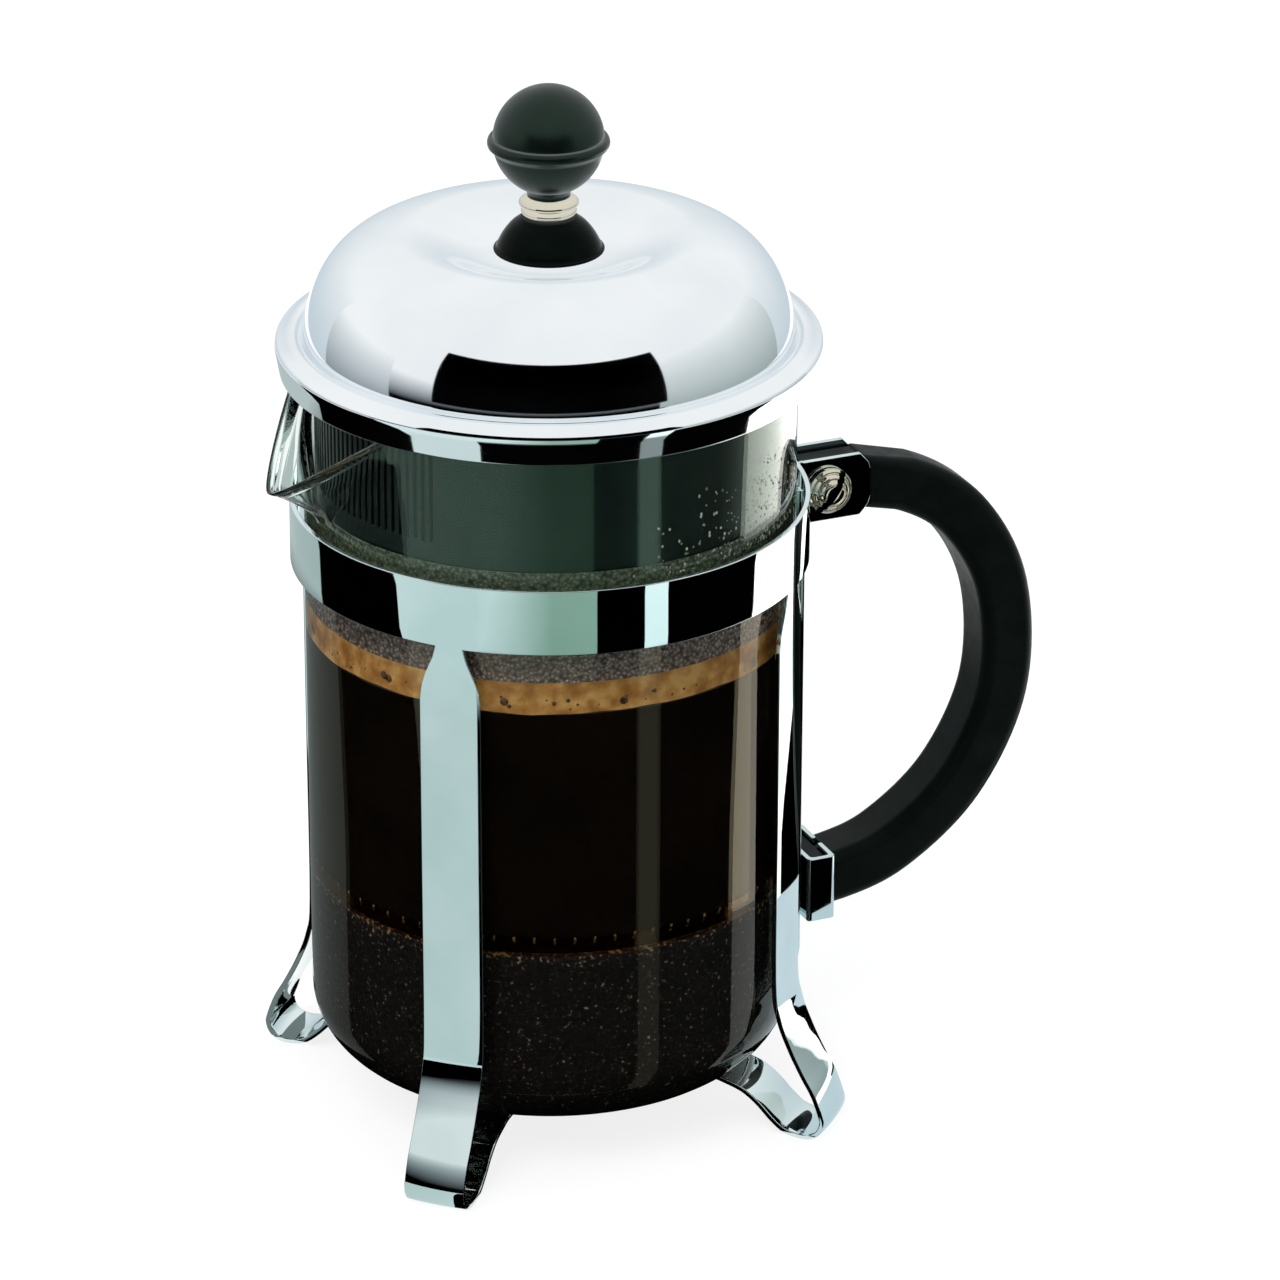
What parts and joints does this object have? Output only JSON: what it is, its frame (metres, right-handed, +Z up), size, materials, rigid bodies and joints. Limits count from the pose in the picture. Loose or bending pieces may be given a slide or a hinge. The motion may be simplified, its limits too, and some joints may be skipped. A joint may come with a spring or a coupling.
{
  "type": "french press",
  "caption": "Press-plunger coffee maker: glass beaker in a chromed metal stand with a curved black handle, domed metal lid and ball-knob plunger.",
  "frame": {"origin": "centre of the bounding box's base, on the surface the feet stand on; the vessel axis is at X = -19.8 mm, Y = 0", "axes": "+Z up along the vessel axis, +X towards the handle, -X towards the spout"},
  "size_m": [0.1424, 0.0926, 0.1851],
  "materials": {
    "stand_chrome": "bright chromium plate",
    "lid_chrome": "bright chromium plate",
    "fastener_nickel": "turned nickel plate",
    "glass": "clear borosilicate glass",
    "handle_plastic": "fine matte black",
    "knob_plastic": "fine matte black",
    "liner_plastic": "moulded black",
    "filter_steel": "stainless steel",
    "screen_steel": "woven stainless wire",
    "hub_brass": "turned brass"
  },
  "bodies": {
    "stand": {"stand_frame": "stand_chrome", "handle_strap": "stand_chrome", "handle_bracket": "stand_chrome", "handle_grip": "handle_plastic", "clamp_bolt": "fastener_nickel", "clamp_washer": "fastener_nickel", "clamp_nut": "fastener_nickel"},
    "beaker": {"glass_beaker": "glass"},
    "lid": {"lid_shell": "lid_chrome", "lid_liner": "liner_plastic", "knob_seat": "knob_plastic", "liner_washer": "filter_steel", "liner_nut": "filter_steel"},
    "plunger": {"plunger_rod": "filter_steel", "rod_lock_ring": "fastener_nickel"},
    "knob": {"knob_insert": "fastener_nickel", "knob_cup": "knob_plastic", "knob_cap": "knob_plastic"},
    "filter": {"spiral_plate": "filter_steel", "rim_spring": "filter_steel", "mesh_screen": "screen_steel", "cross_plate": "filter_steel", "filter_hub": "hub_brass"}
  },
  "joints": [
    {"name": "beaker_lift", "type": "slide", "parent": "stand", "child": "beaker", "axis": [0, 0, 1], "range_m": [0, 0.106]},
    {"name": "lid_lift", "type": "slide", "parent": "beaker", "child": "lid", "axis": [0, 0, 1], "range_m": [0, 0.1]},
    {"name": "plunger_press", "type": "slide", "parent": "lid", "child": "plunger", "axis": [0, 0, 1], "range_m": [0, 0.063]},
    {"name": "knob_unscrew", "type": "hinge", "parent": "plunger", "child": "knob", "pos_m": [-0.0198, 0, 0.1757], "axis": [0, 0, 1], "continuous": true},
    {"name": "filter_unscrew", "type": "hinge", "parent": "plunger", "child": "filter", "pos_m": [-0.0198, 0, 0.0462], "axis": [0, 0, 1], "continuous": true}
  ]
}
